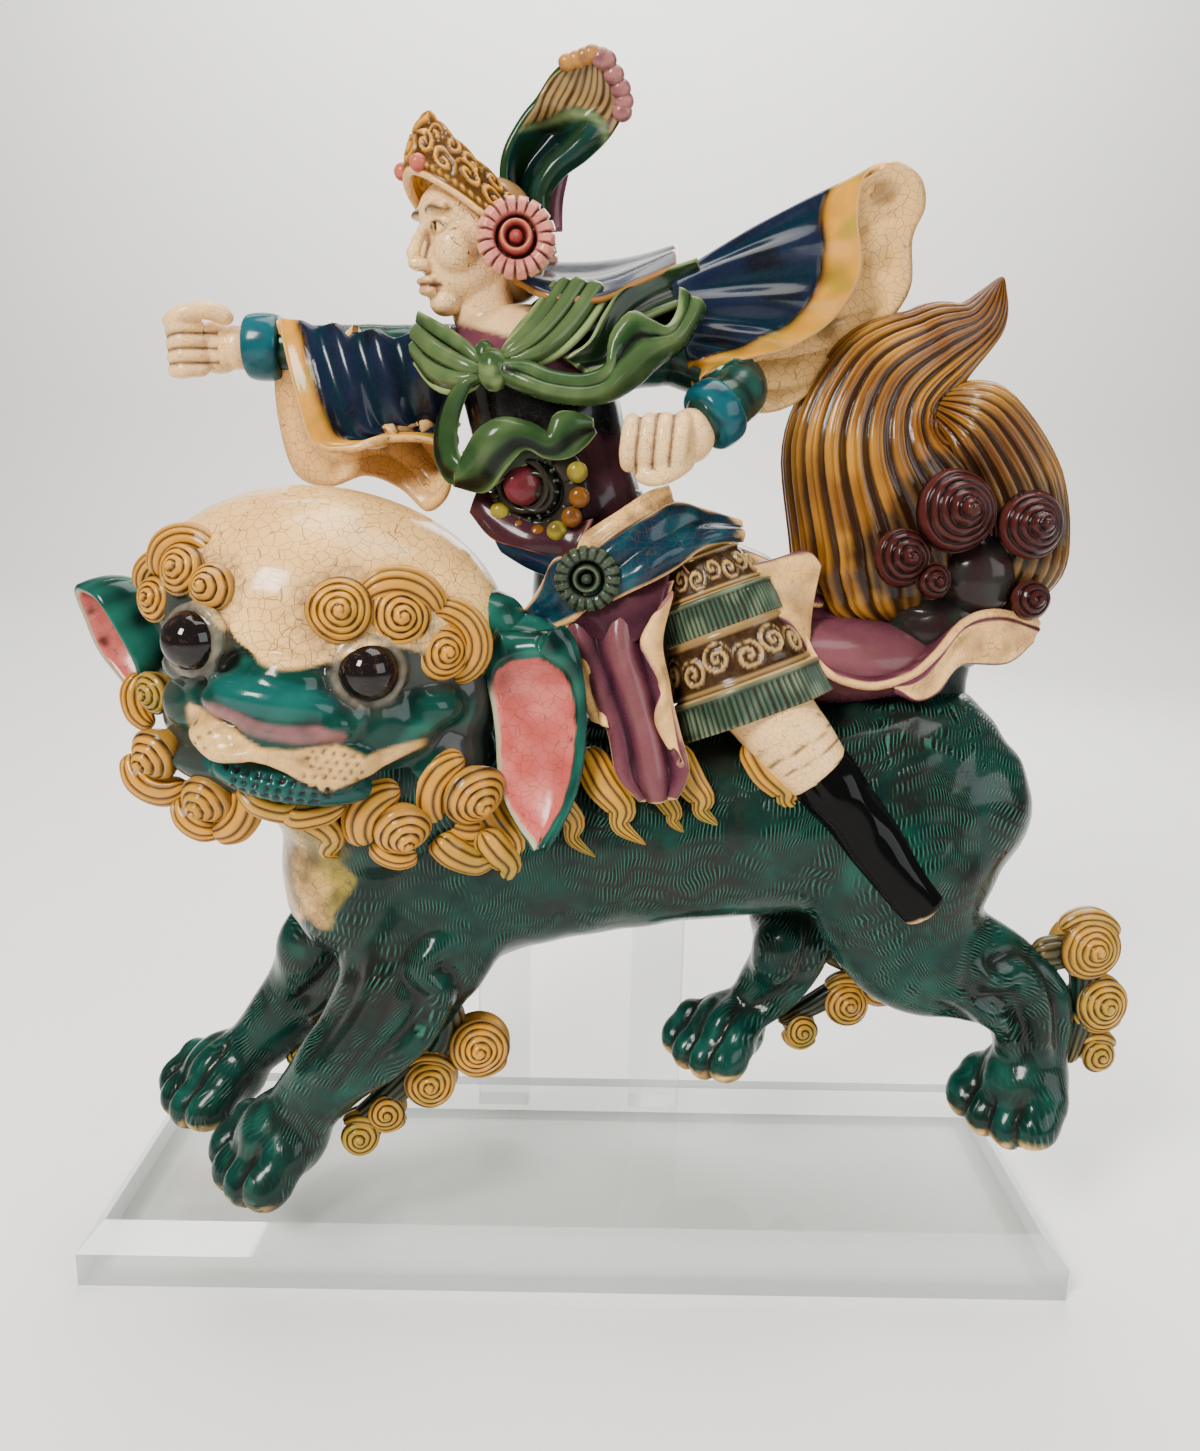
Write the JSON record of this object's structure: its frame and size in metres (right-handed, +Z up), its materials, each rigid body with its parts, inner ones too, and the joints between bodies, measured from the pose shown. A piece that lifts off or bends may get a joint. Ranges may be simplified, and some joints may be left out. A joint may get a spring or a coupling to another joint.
{
  "type": "roof ridge figure",
  "caption": "Glazed stoneware rider in flowing robes on a striding lion, held up by two clear posts on a clear bevelled slab.",
  "frame": {"origin": "centre of the slab's underside", "axes": "+Z up, the lion strides towards -X, its face and the viewer's side are -Y"},
  "size_m": [0.4763, 0.191, 0.5309],
  "materials": {
    "glaze": "glossy crackled glazes in teal, amber, cream, cobalt and aubergine",
    "clear_plastic": "polished clear acrylic"
  },
  "bodies": {
    "root": {"glazed_figure": "glaze", "stand_slab": "clear_plastic", "stand_post_left": "clear_plastic", "stand_post_right": "clear_plastic"}
  },
  "joints": []
}
